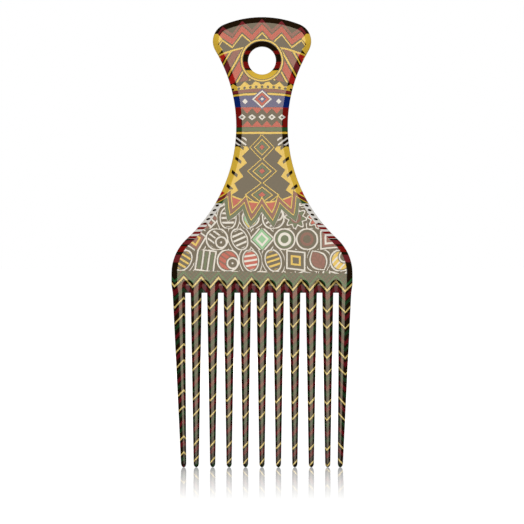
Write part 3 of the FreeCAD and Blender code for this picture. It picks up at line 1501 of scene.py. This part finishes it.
@dataclass
class ToothRow:
    """The two end teeth and the straight teeth between them.

    Attributes:
        pitch: Between neighbouring tooth axes, metres.
        width: Root width of a straight tooth.
        gap: Opening between two teeth at their roots.
        end_width: Root width of an end tooth.
        end_tip_pitch: Tip of an end tooth to the tip of its neighbour.
        bevel: Width of the bevels along a gap.
        rim: Width of the bevel along the outline.
        straight: How many straight teeth there are.
    """

    pitch: float = 6.5 * MM
    width: float = 4.4 * MM
    gap: float = 2.1 * MM
    end_width: float = 5.0 * MM
    end_tip_pitch: float = 4.95 * MM
    bevel: float = 1.1 * MM
    rim: float = 2.2 * MM
    straight: int = 9

    def teeth(self) -> list[Tooth]:
        """Every tooth, from the left end to the right.

        Returns:
            The teeth, not yet built.
        """
        last = (self.straight - 1) / 2 * self.pitch
        inner = last + self.width / 2 + self.gap
        outer = inner + self.end_width
        tip = last + self.end_tip_pitch
        row = [Tooth("end_tooth_left", -outer, -inner, (self.rim, self.bevel), -tip)]
        for index in range(self.straight):
            x = index * self.pitch - last
            sides = (self.bevel, self.bevel)
            row.append(Tooth(f"tooth_{index + 2:02d}", x - self.width / 2, x + self.width / 2, sides, x))
        row.append(Tooth("end_tooth_right", inner, outer, (self.bevel, self.rim), tip))
        return row

    def build(self, finish: bpy.types.Material) -> None:
        """Build all the teeth in one finish."""
        for tooth in self.teeth():
            tooth.build(finish)


@dataclass(frozen=True)
class Lamp:
    """A round softbox aimed at the middle of the pick.

    Attributes:
        name: Its name.
        place: Where it stands, metres.
        radius: Its radius.
        radiance: Its brightness.
        colour: Its colour.
        gleams: Whether it shows in reflections.
    """

    name: str
    place: tuple[float, float, float]
    radius: float
    radiance: float
    colour: Colour
    gleams: bool

    def build(self, target: Vector) -> None:
        """Put the lamp up.

        Args:
            target: The point that it faces.
        """
        data = bpy.data.lights.new(self.name, "AREA")
        data.shape = "DISK"
        data.size = 2 * self.radius
        data.energy = self.radiance * math.pi * math.pi * self.radius**2
        data.color = self.colour
        lamp = bpy.data.objects.new(self.name, data)
        lamp.location = self.place
        lamp.rotation_euler = (target - lamp.location).to_track_quat("-Z", "Y").to_euler()
        lamp.visible_camera = False
        lamp.visible_glossy = self.gleams
        bpy.context.scene.collection.objects.link(lamp)
        LOG.info("%s: lamp at %s", self.name, self.place)


@dataclass
class Studio:
    """White floor and backdrop, soft lamps, dark cards and the camera.

    Attributes:
        floor_level: Height of the floor, at the tooth tips, metres.
        floor_size: Width of the floor.
        floor_grey: How much lamplight the floor sends back.
        floor_glow: Its own brightness near the object, which lamplight fills up to white.
        glow_reach: Distance from the object at which that is halfway to white.
        glow_fade: Distance over which it changes.
        aim: Height that the camera looks at.
        lens: Focal length, millimetres.
        sensor: Sensor width, millimetres.
        frame_width: Width of the picture at the front face.
        front_face: Depth of the front face.
        mirror: Share of the floor that mirrors at the object.
        mirror_reach: Distance over which that fades away.
        card_distance: Object to a dark card.
        card_half: Half the width of a dark card.
        card_grey: How dark its colour is.
        fill: Brightness of the world for diffuse light.
        lamps: The softboxes.
        stage: What stands around the object.
    """

    floor_level: float = -160.8 * MM
    floor_size: float = 60.0
    floor_grey: float = 0.25
    floor_glow: float = 0.86
    glow_reach: float = 0.45
    glow_fade: float = 0.5
    aim: float = -79.6 * MM
    lens: float = 200.0
    sensor: float = 36.0
    frame_width: float = 206.8 * MM
    front_face: float = -2.5 * MM
    mirror: float = 0.685
    mirror_reach: float = 176 * MM
    card_distance: float = 0.78
    card_half: float = 1.6
    card_grey: float = 0.004
    fill: float = 0.25
    lamps: tuple[Lamp, ...] = (
        Lamp("softbox_front", (0.0, -1.30, 0.14), 0.45, 4.0, (1.0, 0.82, 0.52), True),
        Lamp("key_front", (0.0, -1.05, 0.72), 0.70, 2.5, (0.94, 0.97, 1.0), False),
        Lamp("softbox_back", (0.0, 1.30, 0.10), 0.45, 4.7, (1.0, 0.82, 0.60), False),
        Lamp("key_back", (0.0, 1.05, 0.72), 0.70, 2.1, (0.94, 0.97, 1.0), False),
    )
    stage: list[bpy.types.Object] = field(default_factory=list)

    def build(self) -> None:
        """Set up the whole studio."""
        bpy.context.scene.view_settings.view_transform = "Standard"
        self.add_world()
        self.add_floor()
        self.add_cards()
        for lamp in self.lamps:
            lamp.build(Vector((0, 0, self.aim)))
        self.add_camera()

    @staticmethod
    def background_rays(graph: Graph) -> Signal:
        """1 where a ray comes from the camera, a reflection or a clear piece, and 0 elsewhere.

        Args:
            graph: The nodes of the material or world.

        Returns:
            That number.
        """
        path = graph.node("ShaderNodeLightPath", {}, {})
        names = ("Is Camera Ray", "Is Glossy Ray", "Is Transmission Ray")
        camera, glossy, clear = (Signal(graph, path.outputs[name]) for name in names)
        return graph.math("MINIMUM", camera + glossy + clear, 1.0)

    def add_world(self) -> None:
        """White backdrop, with a dim fill for diffuse light."""
        world = bpy.data.worlds.new("studio")
        world.use_nodes = True
        bpy.context.scene.world = world
        graph = Graph(world.node_tree)
        seen = self.background_rays(graph)
        strength = seen * (1 - self.fill) + self.fill
        sky = graph.node("ShaderNodeBackground", {}, {"Color": (1, 1, 1, 1), "Strength": strength})
        graph.node("ShaderNodeOutputWorld", {}, {"Surface": sky.outputs[0]})

    def add_floor(self) -> None:
        """White floor that keeps the object's shadow and mirrors the tooth tips."""
        material, graph = new_material("floor_white")
        place = graph.node("ShaderNodeTexCoord", {}, {})
        axes = graph.node("ShaderNodeSeparateXYZ", {}, {"Vector": place.outputs["Object"]})
        x, y = Signal(graph, axes.outputs["X"]), Signal(graph, axes.outputs["Y"])
        far = 1 - graph.below(graph.length(x, y), self.glow_reach, self.glow_fade)
        seen = self.background_rays(graph)
        strength = seen * (far * (1 - self.floor_glow) + self.floor_glow)
        glow = graph.node("ShaderNodeEmission", {}, {"Color": (1, 1, 1, 1), "Strength": strength})
        grey = (self.floor_grey,) * 3 + (1,)
        lit = graph.node("ShaderNodeBsdfDiffuse", {}, {"Color": grey})
        white = graph.node("ShaderNodeAddShader", {}, {0: glow.outputs[0], 1: lit.outputs[0]})
        gloss = graph.node("ShaderNodeBsdfGlossy", {}, {"Color": (1, 1, 1, 1), "Roughness": 0.0})
        near = graph.below(abs(y), self.mirror_reach / 2, self.mirror_reach) * self.mirror
        mixed = graph.node("ShaderNodeMixShader", {}, {0: near, 1: white.outputs[0], 2: gloss.outputs[0]})
        graph.node("ShaderNodeOutputMaterial", {}, {"Surface": mixed.outputs[0]})
        level = Matrix.Translation((0, 0, self.floor_level))
        floor = self.add_sheet("floor", self.floor_size / 2, level, material)
        floor.visible_glossy = False
        floor.visible_shadow = False

    def add_sheet(
        self, name: str, half: float, matrix: Matrix, finish: bpy.types.Material,
    ) -> bpy.types.Object:
        """Add a square sheet to the stage, which isn't part of the pick.

        Args:
            name: The sheet's name.
            half: Half its width.
            matrix: Its place.
            finish: Its material.

        Returns:
            The sheet.
        """
        bm = bmesh.new()
        bmesh.ops.create_grid(bm, x_segments=1, y_segments=1, size=half, matrix=matrix)
        sheet = make_object(name, bm, finish)
        self.stage.append(sheet)
        return sheet

    def add_cards(self) -> None:
        """Dark cards round the object that keep its bevels deep.

        They show in the reflections of the lacquer, and not in those of the floor, which are the
        only perfectly sharp ones.
        """
        material, graph = new_material("card_black")
        grey = (self.card_grey,) * 3 + (1,)
        black = graph.node("ShaderNodeBsdfDiffuse", {}, {"Color": grey})
        clear = graph.node("ShaderNodeBsdfTransparent", {}, {})
        sharp = graph.node("ShaderNodeLightPath", {}, {}).outputs["Is Singular Ray"]
        shades = {0: sharp, 1: black.outputs[0], 2: clear.outputs[0]}
        mixed = graph.node("ShaderNodeMixShader", {}, shades)
        graph.node("ShaderNodeOutputMaterial", {}, {"Surface": mixed.outputs[0]})
        upright = Matrix.Rotation(math.pi / 2, 4, "Y")
        away = self.card_distance
        places = {
            "card_left": Matrix.Translation((-away, 0, self.aim)) @ upright,
            "card_right": Matrix.Translation((away, 0, self.aim)) @ upright,
            "card_top": Matrix.Translation((0, 0, self.aim + away)),
            "card_bottom": Matrix.Translation((0, 0, self.aim - away)),
        }
        for name, matrix in places.items():
            card = self.add_sheet(name, self.card_half, matrix, material)
            card.visible_camera = False
            card.visible_diffuse = False
            card.visible_shadow = False

    def add_camera(self) -> None:
        """Level camera in front of the pick, with the photograph's framing."""
        data = bpy.data.cameras.new("camera")
        data.lens = self.lens
        data.sensor_width = self.sensor
        camera = bpy.data.objects.new("camera", data)
        distance = self.lens * self.frame_width / self.sensor
        camera.location = (0, self.front_face - distance, self.aim)
        camera.rotation_euler = (math.pi / 2, 0, 0)
        bpy.context.scene.collection.objects.link(camera)
        bpy.context.scene.camera = camera


def main() -> None:
    """Build the pick's sections and the studio around them."""
    logging.basicConfig(level=logging.INFO, format="%(name)s: %(message)s")
    lacquer, fan, chevrons = Lacquer(), Fan(), Chevrons()
    handle_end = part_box("handle")[0].z
    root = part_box("tooth_bar")[0].z
    Plate("handle", "handle_print", (handle_end,)).build(HandlePrint(lacquer, fan).material())
    Plate("tooth_bar", "bar_print", (handle_end, root)).build(BarPrint(lacquer, fan, chevrons).material())
    ToothRow().build(ToothPrint(lacquer, chevrons).material())
    Studio().build()


if __name__ == "__main__":
    main()
